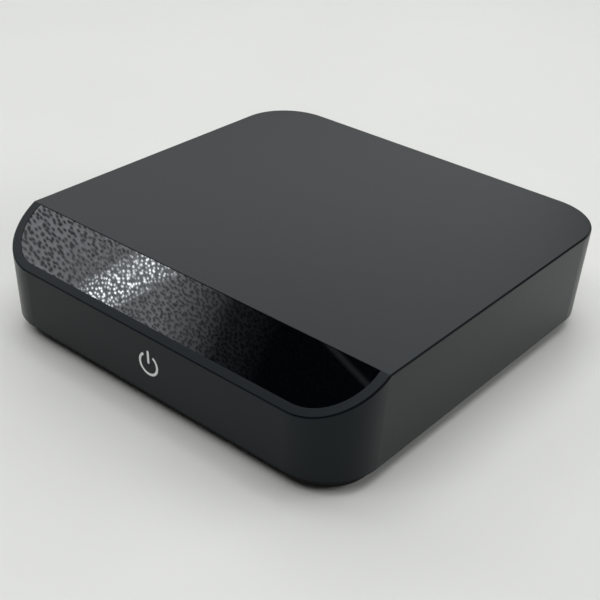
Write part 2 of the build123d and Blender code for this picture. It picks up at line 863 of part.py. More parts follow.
with BuildPart() as dc_pin:
    with BuildSketch(rear_plane(mouth_y - dc_bore_depth)):
        with Locations(dc_axis):
            Circle(dc_pin_radius)
    extrude(amount=-dc_pin_length)
    chamfer(dc_pin.faces().sort_by(Axis.Y)[-1].edges(), dc_pin_radius / 2)
save(dc_pin, "dc_pin")

# Touch board under the slope, with its screws, lights, sensors and light guide
touch_top = floor_under + stub_rise
touch_under = touch_top + touch_board_thick
with BuildPart() as touch_board:
    with BuildSketch(slope_at(touch_under)):
        with Locations((0, mid_slope)):
            Rectangle(touch_board_length, touch_board_width)
        with Locations(*stub_places):
            Circle(touch_screw_radius + head_gap, mode=Mode.SUBTRACT)
    extrude(amount=touch_board_thick)
save(touch_board, "touch_board")

touch_board_screws = screws(
    under_slope(touch_under),
    [(-stub_x, -mid_slope), (stub_x, -mid_slope)],
    touch_screw_radius,
    touch_screw_grip - screw_gap,
    touch_screw_head_radius,
    touch_screw_head,
)
save(touch_board_screws, "touch_board_screws")

with BuildPart() as light_guide:
    with BuildSketch(slope_at(floor_under + guide_flange_thick)):
        with Locations((0, mid_slope)):
            SlotOverall(window_length + 2 * guide_flange, window_width + 2 * guide_flange)
    extrude(amount=guide_flange_thick)
    with BuildSketch(slope_at(floor_under)):
        with Locations((0, mid_slope)):
            SlotOverall(window_length - 2 * guide_gap, window_width - 2 * guide_gap)
    extrude(amount=recess_floor)
save(light_guide, "light_guide")

led_places = [((step - (led_count - 1) / 2) * led_pitch, mid_slope) for step in range(led_count)]
touch_leds = slope_chips(slope_at(touch_top), led_places, led_length, led_width, led_height)
save(touch_leds, "touch_leds")
sensor_place = [(sensor_offset, mid_slope)]
proximity_sensor = slope_chips(slope_at(touch_top), sensor_place, sensor_length, sensor_width, sensor_height)
save(proximity_sensor, "proximity_sensor")
receiver_place = [(-sensor_offset, mid_slope)]
infrared_receiver = slope_chips(
    slope_at(touch_top), receiver_place, receiver_length, receiver_width, receiver_height
)
save(infrared_receiver, "infrared_receiver")
controller_place = [(-controller_offset, -mid_slope)]
touch_controller = slope_chips(
    under_slope(touch_under), controller_place, controller_side, controller_side, controller_height
)
save(touch_controller, "touch_controller")

# Ribbon cable from the socket under the touch board, down to the socket at the main board's front edge
front_socket_v = mid_slope + touch_board_width / 2 - ribbon_socket_inset - ribbon_socket_width / 2
ribbon_socket_front = slope_chips(
    under_slope(touch_under),
    [(0, -front_socket_v)],
    ribbon_socket_length,
    ribbon_socket_width,
    ribbon_socket_height,
)
save(ribbon_socket_front, "ribbon_socket_front")
main_socket_y = board_front + ribbon_socket_inset + ribbon_socket_width / 2
ribbon_socket_main = chips(
    [(0, main_socket_y)], ribbon_socket_length, ribbon_socket_width, ribbon_socket_height
)
save(ribbon_socket_main, "ribbon_socket_main")

ribbon_depth = touch_under + ribbon_socket_height / 2
ribbon_v = front_socket_v + ribbon_socket_width / 2
ribbon_start = slope_at(ribbon_depth).from_local_coords((0, ribbon_v, 0))
ribbon_turn = slope_at(ribbon_depth).from_local_coords((0, ribbon_v + ribbon_lead_out, 0))
ribbon_z = board_top + ribbon_socket_height / 2
ribbon_end_y = main_socket_y - ribbon_socket_width / 2
with BuildPart() as ribbon_cable:
    with BuildSketch(Plane.YZ.offset(-ribbon_width / 2)):
        with BuildLine():
            FilletPolyline(
                (ribbon_start.Y, ribbon_start.Z),
                (ribbon_turn.Y, ribbon_turn.Z),
                (ribbon_end_y - ribbon_lead_in, ribbon_z),
                (ribbon_end_y, ribbon_z),
                radius=ribbon_bend,
            )
        trace(line_width=ribbon_thick)
    extrude(amount=ribbon_width)
save(ribbon_cable, "ribbon_cable")

# Places of the columns across the main board, and the room of the heat spreader
analog_x = analog_column_share * board_width
memory_x = memory_column_share * board_width
processor_x = processor_column_share * board_width
power_x = power_column_share * board_width
wireless_y = board_front + wireless_inset + wireless_depth / 2
wireless_rear = wireless_y + wireless_depth / 2
spreader_depth = field_rear - wireless_rear - 2 * spreader_gap
spreader_width = 2 * (power_x - coil_side / 2 - spreader_gap - processor_x)

# Processor with its thermal pad and finned heat spreader
processor_place = [(processor_x, (field_rear + wireless_rear) / 2)]
processor = chips(processor_place, processor_side, processor_side, processor_height)
save(processor, "processor")
pad_z = board_top + processor_height
with BuildPart() as thermal_pad:
    with BuildSketch(Plane.XY.offset(pad_z)):
        with Locations(*processor_place):
            Rectangle(processor_side, processor_side)
    extrude(amount=pad_thick)
save(thermal_pad, "thermal_pad")
spreader_z = pad_z + pad_thick
fin_pitch = (spreader_width - fin_thick) / (fin_count - 1)
with BuildPart() as heat_spreader:
    with BuildSketch(Plane.XY.offset(spreader_z)):
        with Locations(*processor_place):
            Rectangle(spreader_width, spreader_depth)
    extrude(amount=spreader_base)
    with BuildSketch(Plane.XY.offset(spreader_z + spreader_base)):
        with Locations(*processor_place):
            with GridLocations(fin_pitch, 0, fin_count, 1):
                Rectangle(fin_thick, spreader_depth)
    extrude(amount=fin_height)
save(heat_spreader, "heat_spreader")

# Column of the analog side: flash chip, two rows of capacitors and the audio converter
capacitor_side = 2 * capacitor_radius
capacitor_pitch = capacitor_side + capacitor_gap
flash_place, *capacitor_rows, converter_place = column(
    analog_x, [flash_depth, capacitor_side, capacitor_side, converter_side]
)
save(chips([flash_place], flash_width, flash_depth, flash_height), "flash_chip")
save(chips([converter_place], converter_side, converter_side, converter_height), "audio_converter")
with BuildPart() as filter_capacitors:
    with BuildSketch(Plane.XY.offset(board_top)):
        with Locations(*capacitor_rows):
            with GridLocations(capacitor_pitch, 0, 2, 1):
                Circle(capacitor_radius)
    extrude(amount=capacitor_height)
save(filter_capacitors, "filter_capacitors")

# Column of the memory chips, with a clock crystal at each end
crystal_front, *memory_places, crystal_rear = column(
    memory_x, [crystal_depth, memory_depth, memory_depth, crystal_depth]
)
save(chips(memory_places, memory_width, memory_depth, memory_height), "memory_chips")
save(chips([crystal_front, crystal_rear], crystal_width, crystal_depth, crystal_height), "clock_crystals")

# Column of the power side: two chips and three coils
power_front, power_rear, *coil_places = column(
    power_x, [power_depth, power_depth, coil_side, coil_side, coil_side]
)
save(chips([power_front, power_rear], power_width, power_depth, power_height), "power_chips")
save(chips(coil_places, coil_side, coil_side, coil_height), "regulator_coils")

# Wireless module, with an antenna on the ceiling at each side and a lead to each
wireless_top = board_top + wireless_thick
shield_depth = wireless_depth - shield_setback - plug_strip
shield_y = wireless_y - wireless_depth / 2 + shield_setback + shield_depth / 2
wireless_board = chips([(0, wireless_y)], wireless_width, wireless_depth, wireless_thick)
save(wireless_board, "wireless_board")
wireless_shield = chips([(0, shield_y)], shield_width, shield_depth, shield_height, seat=wireless_top)
save(wireless_shield, "wireless_shield")

lead_y = wireless_rear - lead_setback
antenna_x = body_width / 2 - antenna_inset
antenna_low = ceiling - antenna_thick
lead_height = antenna_low - wireless_top
lead_knee = wireless_top + lead_rise_share * lead_height
lead_crest = lead_knee + lead_climb_share * lead_height
for side_name, side in (("left", -1), ("right", 1)):
    with BuildPart() as antenna:
        with BuildSketch(Plane.XY.offset(antenna_low)):
            with Locations((side * antenna_x, lead_y)):
                Rectangle(antenna_width, antenna_length)
        extrude(amount=antenna_thick)
    save(antenna, f"antenna_{side_name}")

    lead_foot = (side * lead_spread, lead_y, wireless_top)
    with BuildPart() as lead:
        with BuildLine():
            FilletPolyline(
                lead_foot,
                (side * lead_spread, lead_y, lead_knee),
                (side * antenna_x, lead_y, lead_crest),
                (side * antenna_x, lead_y, antenna_low),
                radius=lead_bend_share * lead_height,
            )
        with BuildSketch(Plane(lead_foot)):
            RegularPolygon(lead_radius, lead_sides)
        sweep()
        with BuildSketch(Plane(lead_foot)):
            Circle(lead_plug_radius)
        extrude(amount=lead_plug_height)
    save(lead, f"antenna_lead_{side_name}")
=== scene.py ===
import json
import math

import bmesh
import bpy
from mathutils import Matrix, Vector


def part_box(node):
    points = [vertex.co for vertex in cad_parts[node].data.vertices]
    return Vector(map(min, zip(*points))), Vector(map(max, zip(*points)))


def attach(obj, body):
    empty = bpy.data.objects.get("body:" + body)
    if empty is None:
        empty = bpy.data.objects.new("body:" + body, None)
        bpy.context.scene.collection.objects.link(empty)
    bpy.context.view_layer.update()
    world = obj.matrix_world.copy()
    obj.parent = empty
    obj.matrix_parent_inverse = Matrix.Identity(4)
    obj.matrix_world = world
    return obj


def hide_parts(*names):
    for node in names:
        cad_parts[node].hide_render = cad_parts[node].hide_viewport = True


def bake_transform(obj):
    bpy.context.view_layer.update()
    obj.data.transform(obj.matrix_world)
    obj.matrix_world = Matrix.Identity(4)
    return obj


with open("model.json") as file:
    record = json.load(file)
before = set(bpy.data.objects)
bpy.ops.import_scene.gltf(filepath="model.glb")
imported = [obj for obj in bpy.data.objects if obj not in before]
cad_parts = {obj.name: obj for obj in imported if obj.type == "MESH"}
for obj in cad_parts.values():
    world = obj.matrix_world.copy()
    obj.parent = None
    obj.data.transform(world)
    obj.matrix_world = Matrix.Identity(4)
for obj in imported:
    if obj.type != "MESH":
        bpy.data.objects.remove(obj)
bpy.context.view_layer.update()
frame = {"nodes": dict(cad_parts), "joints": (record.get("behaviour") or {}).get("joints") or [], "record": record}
nodes = frame["nodes"]
scene = bpy.context.scene
scene.view_settings.view_transform = "Standard"

MM = 0.001

# Sizes that the pieces below share with the part's source, in millimetres
body_depth = 143.0
body_height = 36.5
draft = math.radians(2.5)


# Materials: each surface is one principled shader, with fields that vary its colour, roughness and relief
def add(tree, kind, **values):
    """Add a node; names that match its inputs set those, the rest set the node itself."""
    made = tree.nodes.new(kind)
    for key, value in values.items():
        label = key.replace("_", " ").title()
        if label in made.inputs:
            made.inputs[label].default_value = value
        else:
            setattr(made, key, value)
    return made


def place(tree, stretch=(1, 1, 1), turn=0.0, shift=(0, 0, 0)):
    """Object coordinates for grain that is stretched along axes turned about Z."""
    where = add(tree, "ShaderNodeTexCoord")
    turned = add(
        tree, "ShaderNodeMapping", vector_type="TEXTURE", scale=stretch, rotation=(0, 0, turn), location=shift
    )
    tree.links.new(where.outputs["Object"], turned.inputs["Vector"])
    return turned.outputs["Vector"]


def noise(tree, where, scale, detail=3.0, roughness=0.55):
    """A noise field at this many waves per metre."""
    field = add(tree, "ShaderNodeTexNoise", scale=scale, detail=detail, roughness=roughness)
    tree.links.new(where, field.inputs["Vector"])
    return field.outputs["Fac"]


def span(tree, field, low, high, start=0.3, end=0.7):
    """Spread a field between two numbers."""
    spread = add(tree, "ShaderNodeMapRange", from_min=start, from_max=end, to_min=low, to_max=high)
    tree.links.new(field, spread.inputs["Value"])
    return spread.outputs["Result"]


def calc(tree, operation, *values):
    """A sum or product of fields and plain numbers."""
    made = add(tree, "ShaderNodeMath", operation=operation)
    for socket, value in zip(made.inputs, values):
        if isinstance(value, (int, float)):
            socket.default_value = value
        else:
            tree.links.new(value, socket)
    return made.outputs["Value"]


def between(tree, field, low, high, start=0.3, end=0.7):
    """Spread a field between two colours."""
    ramp = add(tree, "ShaderNodeValToRGB")
    ramp.color_ramp.elements[0].position = start
    ramp.color_ramp.elements[0].color = (*low, 1)
    ramp.color_ramp.elements[1].position = end
    ramp.color_ramp.elements[1].color = (*high, 1)
    tree.links.new(field, ramp.inputs["Fac"])
    return ramp.outputs["Color"]


# Roughness varies in smaller, finer clouds than colour does
rough_cloud, rough_detail = 1.7, 5
grain_detail = 2


def look(name, color, rough, grain, tint=0.12, cloud=60, stretch=(1, 1, 1), **sockets):
    """A finished surface: cloudy colour, a range of roughness, and grain as (waves per metre, mm high)."""
    material = bpy.data.materials.new(name)
    material.use_nodes = True
    tree = material.node_tree
    shader = tree.nodes["Principled BSDF"]
    for key, value in sockets.items():
        shader.inputs[key.replace("_", " ").title().replace("Ior", "IOR")].default_value = value
    where = place(tree, stretch)
    low = tuple(c * (1 - tint) for c in color)
    high = tuple(min(c * (1 + tint), 1) for c in color)
    tree.links.new(between(tree, noise(tree, where, cloud), low, high), shader.inputs["Base Color"])
    patches = noise(tree, where, cloud * rough_cloud, rough_detail)
    tree.links.new(span(tree, patches, *rough), shader.inputs["Roughness"])
    grain_scale, grain_height = grain
    bump = add(tree, "ShaderNodeBump", strength=1.0, distance=grain_height * MM)
    tree.links.new(noise(tree, where, grain_scale, grain_detail), bump.inputs["Height"])
    tree.links.new(bump.outputs["Normal"], shader.inputs["Normal"])
    return material


def striped(material, axis, pitch, low, high):
    """Draw bands of two colours across a finished surface, this many millimetres apart."""
    tree = material.node_tree
    # The wave node fits scale * 10 / pi bands in a metre
    bands = add(tree, "ShaderNodeTexWave", scale=math.pi / (10 * pitch * MM), bands_direction=axis)
    tree.links.new(place(tree), bands.inputs["Vector"])
    shade = between(tree, bands.outputs["Fac"], low, high, 0.4, 0.6)
    tree.links.new(shade, tree.nodes["Principled BSDF"].inputs["Base Color"])
    return material


looks = {
    "housing_plastic": look(
        "housing_plastic",
        (0.0024, 0.005, 0.0068),
        (0.29, 0.31),
        (5200, 0.0025),
        tint=0.05,
        cloud=500,
        ior=1.3,
        specular_tint=(0.85, 0.96, 1.0, 1.0),
    ),
    "panel_gloss": look("panel_gloss", (0.0002, 0.0007, 0.001), (0.015, 0.03), (90, 0.0003), cloud=30),
    "base_plastic": look(
        "base_plastic", (0.006, 0.006, 0.0066), (0.55, 0.68), (3200, 0.012), cloud=80, ior=1.3
    ),
    "foot_rubber": look("foot_rubber", (0.016, 0.016, 0.017), (0.7, 0.85), (2600, 0.02), cloud=120),
    "rear_plastic": look("rear_plastic", (0.010, 0.010, 0.011), (0.42, 0.55), (3000, 0.014), cloud=90),
    "screw_steel": look(
        "screw_steel", (0.10, 0.10, 0.105), (0.28, 0.45), (2500, 0.006), cloud=400, metallic=1.0
    ),
    "socket_plastic": look("socket_plastic", (0.009, 0.009, 0.010), (0.3, 0.42), (2400, 0.008), cloud=200),
    "plated_steel": look(
        "plated_steel", (0.60, 0.60, 0.58), (0.25, 0.32), (1500, 0.003), tint=0.03, cloud=700, metallic=1.0
    ),
    "gold_plate": look(
        "gold_plate", (0.86, 0.62, 0.27), (0.16, 0.28), (1200, 0.003), cloud=300, metallic=1.0
    ),
    "nickel": look("nickel", (0.66, 0.64, 0.60), (0.14, 0.26), (1200, 0.003), cloud=300, metallic=1.0),
    "insert_white": look(
        "insert_white", (0.80, 0.80, 0.77), (0.28, 0.4), (1800, 0.005), tint=0.04, cloud=200
    ),
    "insert_red": look("insert_red", (0.50, 0.02, 0.02), (0.28, 0.4), (1800, 0.005), cloud=200),
    "insert_orange": look("insert_orange", (0.75, 0.22, 0.03), (0.28, 0.4), (1800, 0.005), cloud=200),
    "board": look("board", (0.012, 0.075, 0.035), (0.3, 0.42), (700, 0.012), tint=0.35, cloud=350),
    "chip": look("chip", (0.018, 0.018, 0.019), (0.45, 0.6), (3500, 0.008), cloud=200),
    "aluminium": look(
        "aluminium",
        (0.72, 0.73, 0.74),
        (0.25, 0.4),
        (1800, 0.006),
        tint=0.06,
        stretch=(1, 12, 1),
        metallic=1.0,
    ),
    "pad": look("pad", (0.42, 0.43, 0.47), (0.7, 0.85), (1500, 0.02), tint=0.08, cloud=200),
    "clear_guide": look(
        "clear_guide", (0.80, 0.82, 0.83), (0.1, 0.2), (900, 0.003), tint=0.03, transmission_weight=0.8
    ),
    "film": look("film", (0.05, 0.05, 0.055), (0.3, 0.42), (1200, 0.004), cloud=120),
    "ribbon": striped(
        look("ribbon", (0.7, 0.71, 0.72), (0.35, 0.5), (1500, 0.01)),
        axis="X",
        pitch=1.0,
        low=(0.5, 0.5, 0.52),
        high=(0.78, 0.78, 0.78),
    ),
    "lead_jacket": look("lead_jacket", (0.06, 0.06, 0.065), (0.45, 0.6), (2200, 0.01), cloud=300),
    "emitter": look("emitter", (0.35, 0.012, 0.012), (0.12, 0.2), (800, 0.003), cloud=300),
    "led": look("led", (0.82, 0.81, 0.74), (0.3, 0.42), (1500, 0.006), tint=0.05, cloud=400),
}
slots = {part["node"]: part["material_slot"] for part in frame["record"]["subparts"]}
for node, slot in slots.items():
    surface = nodes[node].data
    surface.materials.clear()
    surface.materials.append(looks[slot])


def piece_of(bm, name, material, body=None):
    """Turn a finished mesh into a piece, which rides on a body if one is given."""
    bmesh.ops.recalc_face_normals(bm, faces=bm.faces)
    mesh = bpy.data.meshes.new(name)
    bm.to_mesh(mesh)
    bm.free()
    mesh.materials.append(material)
    piece = bpy.data.objects.new(name, mesh)
    scene.collection.objects.link(piece)
    if body:
        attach(piece, body)
    return piece


# Printed mark on the front face: a plain standby sign, a ring broken by a bar
def front_point(x, z):
    """A point on the drafted front face, from millimetres."""
    y = -(body_depth / 2 - (body_height - z) * math.tan(draft))
    return Vector((x, y, z)) * MM


def broken_ring(x, z, radius, stroke, gap, steps=48):
    """Outline of a ring with a gap at its top."""
    first = math.pi / 2 + gap
    sweep = 2 * math.pi - 2 * gap
    points = []
    for side, order in ((0.5, range(steps + 1)), (-0.5, range(steps, -1, -1))):
        for step in order:
            angle = first + sweep * step / steps
            reach = radius + side * stroke
            points.append((x + reach * math.cos(angle), z + reach * math.sin(angle)))
    return points


def upright_bar(x, low, high, stroke, steps=8):
    """Outline of an upright bar with round ends."""
    points = []
    for end, turn in ((high, 0), (low, math.pi)):
        for step in range(steps + 1):
            angle = turn + math.pi * step / steps
            points.append((x + stroke / 2 * math.cos(angle), end + stroke / 2 * math.sin(angle)))
    return points


def printed(name, outlines, proud, material, body):
    """Thin flat shapes on the front face, from closed outlines of points (x, z), as one piece."""
    bm = bmesh.new()
    for outline in outlines:
        face = bm.faces.new([bm.verts.new(front_point(x, z)) for x, z in outline])
        rise = bmesh.ops.extrude_face_region(bm, geom=[face])
        lifted = [part for part in rise["geom"] if isinstance(part, bmesh.types.BMVert)]
        bmesh.ops.translate(bm, verts=lifted, vec=(0, -proud * MM, 0))
    piece_of(bm, name, material, body)


# Sizes of the sign in millimetres; the bar runs from above the ring's middle to past the ring
mark_x, mark_z = 1.0, 16.2
mark_radius, mark_stroke = 3.5, 0.85
mark_gap = math.radians(33)
mark_proud = 0.02
bar_start, bar_past = 0.6, 0.8
mark_ink = look("mark_ink", (0.80, 0.81, 0.81), (0.35, 0.5), (2500, 0.002), tint=0.02, cloud=800)
printed(
    "standby_mark",
    [
        broken_ring(mark_x, mark_z, mark_radius, mark_stroke, mark_gap),
        upright_bar(mark_x, mark_z + bar_start, mark_z + mark_radius + bar_past, mark_stroke),
    ],
    mark_proud,
    mark_ink,
    "streamer",
)


# Screws that show: domed heads with a cross recess, in place of the plain ones
def cross_outline(reach, width):
    """Points of a cross, anticlockwise from the +X arm's end, with one at the middle of each arm's end."""
    quarter = [(reach, 0), (reach, width), (width, width), (width, reach)]
    points = []
    for turn in range(4):
        for x, y in quarter:
            for _ in range(turn):
                x, y = -y, x
            points.append((x, y))
    return points


# A screw's proportions: its dome, its tip and its recess, as shares of the head or the shank
dome_flat, dome_edge, dome_steps = 0.72, 0.45, 6
tip_share = 0.6
recess_reach, recess_width, recess_depth, recess_taper = 0.56, 0.15, 0.6, 0.8


def add_screw(bm, seat, head_radius, head, shank_radius, grip, sides=32):
    """One screw on its seat, a matrix with the head along +Z, in millimetres."""
    rim = dome_flat * head_radius
    profile = [(rim, head)]
    for step in range(1, dome_steps + 1):
        angle = math.pi / 2 * step / dome_steps
        height = head * (dome_edge + (1 - dome_edge) * math.cos(angle))
        profile.append((rim + (head_radius - rim) * math.sin(angle), height))
    tip = tip_share * shank_radius
    profile += [(head_radius, 0), (shank_radius, 0), (shank_radius, tip - grip), (tip, -grip)]

    def vert(x, y, z):
        return bm.verts.new(seat @ (Vector((x, y, z)) * MM))

    rings = []
    for radius, height in profile:
        turns = [2 * math.pi * side / sides for side in range(sides)]
        rings.append([vert(radius * math.cos(turn), radius * math.sin(turn), height) for turn in turns])
    for upper, lower in zip(rings, rings[1:]):
        for side in range(sides):
            after = (side + 1) % sides
            bm.faces.new((upper[side], lower[side], lower[after], upper[after])).smooth = True
    bm.faces.new(rings[-1][::-1])
    outline = cross_outline(recess_reach * head_radius, recess_width * head_radius)
    depth = recess_depth * head
    mouth = [vert(x, y, head) for x, y in outline]
    floor = [vert(recess_taper * x, recess_taper * y, head - depth) for x, y in outline]
    for point in range(len(mouth)):
        after = (point + 1) % len(mouth)
        bm.faces.new((mouth[point], mouth[after], floor[after], floor[point]))
    bm.faces.new(floor)
    for quarter in range(4):
        arc = [rings[0][(quarter * sides // 4 + step) % sides] for step in range(sides // 4 + 1)]
        corner = [mouth[(quarter * 4 + step) % len(mouth)] for step in range(5)]
        bm.faces.new(arc + corner[::-1])


# Degrees by which the first screw's recess is turned, and each next one's from it
first_twist, next_twist = 12, 37


def screw_group(node, heading, places, head_radius, head, shank_radius, grip):
    """Screws that stand for a node: heading turns +Z to where the heads point, places are their seats."""
    bm = bmesh.new()
    for count, spot in enumerate(places):
        twist = Matrix.Rotation(math.radians(next_twist * count + first_twist), 4, "Z")
        seat = Matrix.Translation(Vector(spot)) @ heading @ twist
        add_screw(bm, seat, head_radius, head, shank_radius, grip)
    piece = piece_of(bm, node + "_detailed", looks[slots[node]], "streamer")
    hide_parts(node)


base_head_radius, base_head, base_shank = 2.6, 1.6, 1.4
low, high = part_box("base_screws")
across, deep = high.x - base_head_radius * MM, high.y - base_head_radius * MM
base_seats = [(x, y, low.z + base_head * MM) for x in (-across, across) for y in (-deep, deep)]
base_grip = (high.z - low.z) / MM - base_head
screw_group(
    "base_screws",
    Matrix.Rotation(math.pi, 4, "X"),
    base_seats,
    base_head_radius,
    base_head,
    base_shank,
    base_grip,
)
rear_head_radius, rear_head, rear_shank = 2.3, 1.5, 1.2
low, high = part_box("rear_panel_screws")
across = high.x - rear_head_radius * MM
rear_seats = [(x, high.y - rear_head * MM, (low.z + high.z) / 2) for x in (-across, across)]
rear_grip = (high.y - low.y) / MM - rear_head
screw_group(
    "rear_panel_screws",
    Matrix.Rotation(-math.pi / 2, 4, "X"),
    rear_seats,
    rear_head_radius,
    rear_head,
    rear_shank,
    rear_grip,
)


# Spring of the optical shutter: a wound wire, with one leg on the port's ceiling and one down the flap's back
def wire_mesh(points, radius, sides=8):
    """A round wire along points, closed at both ends."""
    bm = bmesh.new()
    rings = []
    side = Vector((1, 0, 0))
    for count, point in enumerate(points):
        ahead = (points[min(count + 1, len(points) - 1)] - points[max(count - 1, 0)]).normalized()
        side = (side - ahead * side.dot(ahead)).normalized()
        over = ahead.cross(side)
        turns = [math.tau * corner / sides for corner in range(sides)]
        spokes = [side * math.cos(turn) + over * math.sin(turn) for turn in turns]
        rings.append([bm.verts.new(point + radius * spoke) for spoke in spokes])
    for first, second in zip(rings, rings[1:]):
        for corner in range(sides):
            after = (corner + 1) % sides
            bm.faces.new((first[corner], first[after], second[after], second[corner])).smooth = True
    bm.faces.new(rings[0][::-1])
    bm.faces.new(rings[-1])
    return bm


spring_wire = 0.14 * MM
spring_turns = 8
steps_per_turn = 20
low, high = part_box("shutter_spring")
hinge = Vector(frame["joints"][0]["pos_m"])
coil_radius = high.y - hinge.y - spring_wire
coil_start, coil_end = low.x + spring_wire, high.x - spring_wire
coil_top, coil_exit = math.radians(90), math.radians(-75)
coil_sweep = math.tau * spring_turns + coil_top - coil_exit
spring_path = [Vector((coil_start, low.y, high.z - spring_wire))]
steps = round(steps_per_turn * coil_sweep / math.tau)
for step in range(steps + 1):
    angle = coil_top - coil_sweep * step / steps
    spring_path.append(
        Vector((
            coil_start + (coil_end - coil_start) * step / steps,
            hinge.y + coil_radius * math.cos(angle),
            hinge.z + coil_radius * math.sin(angle),
        ))
    )
# The wire turns down behind the flap, then runs straight to its tip: millimetres behind and below the hinge
leg_bend = ((0.10, 1.0), (0.05, 1.15), (0.04, 1.4))
for behind, drop in leg_bend:
    spring_path.append(Vector((coil_end, hinge.y + behind * MM, hinge.z - drop * MM)))
spring_path.append(Vector((coil_end, hinge.y + leg_bend[-1][0] * MM, low.z)))
spring = piece_of(wire_mesh(spring_path, spring_wire), "shutter_spring_wound", looks[slots["shutter_spring"]])
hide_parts("shutter_spring")
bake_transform(spring)


# Studio: a pale round floor, a pale room, soft lamps, and a glowing lining that only the panel mirrors, as a
# painted reflection of a lit embossed sheet
def flat_sheet(name, corners, material):
    """A flat sheet with these corners, for the studio."""
    mesh = bpy.data.meshes.new(name)
    mesh.from_pydata(corners, [], [range(len(corners))])
    mesh.materials.append(material)
    sheet = bpy.data.objects.new(name, mesh)
    scene.collection.objects.link(sheet)
    return sheet


def linked(name, thing, state="INCLUDE"):
    """A group of one object, for a light that reaches it alone, or with EXCLUDE all but it."""
    group = bpy.data.collections.new(name)
    group.objects.link(thing)
    group.collection_objects[0].light_linking.link_state = state
    return group


def rectangle(left, right, near, far):
    """Corners of a flat rectangle."""
    return [(left, near, 0), (right, near, 0), (right, far, 0), (left, far, 0)]


floor_reach = 1.05
floor_sides = 96
floor_turns = [math.tau * side / floor_sides for side in range(floor_sides)]
floor = flat_sheet(
    "floor",
    [(floor_reach * math.cos(turn), floor_reach * math.sin(turn), 0) for turn in floor_turns],
    look("floor_paper", (0.693, 0.702, 0.681), (0.55, 0.7), (300, 0.01), tint=0.012, cloud=12),
)


def painted_lining_glow():
    """Painted reflection: a glow that paints the light and shade of an embossed silver lining, with dark dents on
    grey, a sparkling band of painted glints, and a black far end.
    """
    material = bpy.data.materials.new("lining")
    material.use_nodes = True
    tree = material.node_tree
    tree.nodes.clear()
    out = add(tree, "ShaderNodeOutputMaterial")
    glow = add(tree, "ShaderNodeEmission")
    tree.links.new(glow.outputs["Emission"], out.inputs["Surface"])
    axes = add(tree, "ShaderNodeSeparateXYZ")
    tree.links.new(place(tree), axes.inputs["Vector"])
    along, across = axes.outputs["X"], axes.outputs["Y"]

    def dents(scale, stretch, turn, shift=(0, 0, 0)):
        """Distance from the middle of the nearest dent, in dents, with ragged edges."""
        cells = add(tree, "ShaderNodeTexVoronoi", scale=scale, randomness=0.9, voronoi_dimensions="2D")
        tree.links.new(place(tree, stretch, turn, shift), cells.inputs["Vector"])
        ragged = span(tree, noise(tree, place(tree), 3 * scale, 2), 0.75, 1.25)
        return calc(tree, "MULTIPLY", cells.outputs["Distance"], ragged)

    dent_turn = -0.56
    light_shift, light_gain = (0.0004, -0.0004, 0), 2.5

    def painted_emboss(scale, stretch, dark, light):
        """Painted shade and light of dents lit from one side, from dark in their middle to light around them."""
        hollow = dents(scale, stretch, dent_turn)
        lee = calc(tree, "SUBTRACT", dents(scale, stretch, dent_turn, light_shift), hollow)
        flank = span(tree, hollow, 0, 1, start=0.27, end=0.45)
        spread = calc(tree, "ADD", calc(tree, "MULTIPLY", flank, light - dark), dark)
        return calc(tree, "MAXIMUM", calc(tree, "ADD", spread, calc(tree, "MULTIPLY", lee, light_gain)), 0)

    # Coarse dents at the near end give way to fine ones, and both fade in two steps; ends are in metres
    finer = span(tree, along, 0, 1, start=-0.066, end=-0.026)
    coarser = calc(tree, "SUBTRACT", 1, finer)
    coarse_dents = painted_emboss(scale=460, stretch=(1.8, 1, 1), dark=0.35, light=2.9)
    coarse = calc(tree, "MULTIPLY", coarse_dents, coarser)
    fine = calc(tree, "MULTIPLY", painted_emboss(scale=540, stretch=(1.5, 1, 1), dark=0.6, light=2.8), finer)
    first_fade = span(tree, along, 1, 0.09, start=0.002, end=0.047)
    last_fade = span(tree, along, 1, 0.1, start=0.047, end=0.08)
    fade = calc(tree, "MULTIPLY", first_fade, last_fade)
    grey = calc(tree, "MULTIPLY", calc(tree, "ADD", coarse, fine), fade)
    # Painted sparkles of light in a band that runs aslant
    band_base, band_slope, band_shift = 0.022, 0.8, 0.020
    raised = calc(tree, "ADD", across, band_base)
    slant = calc(tree, "SUBTRACT", along, calc(tree, "MULTIPLY", raised, band_slope))
    from_band = calc(tree, "ABSOLUTE", calc(tree, "ADD", slant, band_shift))
    band = span(tree, from_band, 1, 0, start=0.006, end=0.018)
    uneven = span(tree, noise(tree, place(tree), scale=260, detail=2), 0.25, 1.75, start=0.35, end=0.65)
    sparks = span(tree, dents(scale=500, stretch=(1, 1.4, 1), turn=0.4), 30, 0, start=0.04, end=0.36)
    spark_ground = 2.0
    painted_sparkle = calc(tree, "ADD", calc(tree, "MULTIPLY", sparks, uneven), spark_ground)
    dull = calc(tree, "MULTIPLY", grey, calc(tree, "SUBTRACT", 1, band))
    lit = calc(tree, "ADD", dull, calc(tree, "MULTIPLY", painted_sparkle, band))
    # One faint painted streak of light near the far end, aslant too
    lean_along, lean_across, streak_place = 0.415, 0.91, 0.0331
    lean = calc(
        tree, "ADD", calc(tree, "MULTIPLY", along, lean_along), calc(tree, "MULTIPLY", across, lean_across)
    )
    from_streak = calc(tree, "ABSOLUTE", calc(tree, "SUBTRACT", lean, streak_place))
    streak = span(tree, from_streak, 0.24, 0, start=0.0006, end=0.0028)
    tree.links.new(calc(tree, "ADD", lit, streak), glow.inputs["Strength"])
    glow.inputs["Color"].default_value = (0.95, 1.0, 1.03, 1.0)
    return material


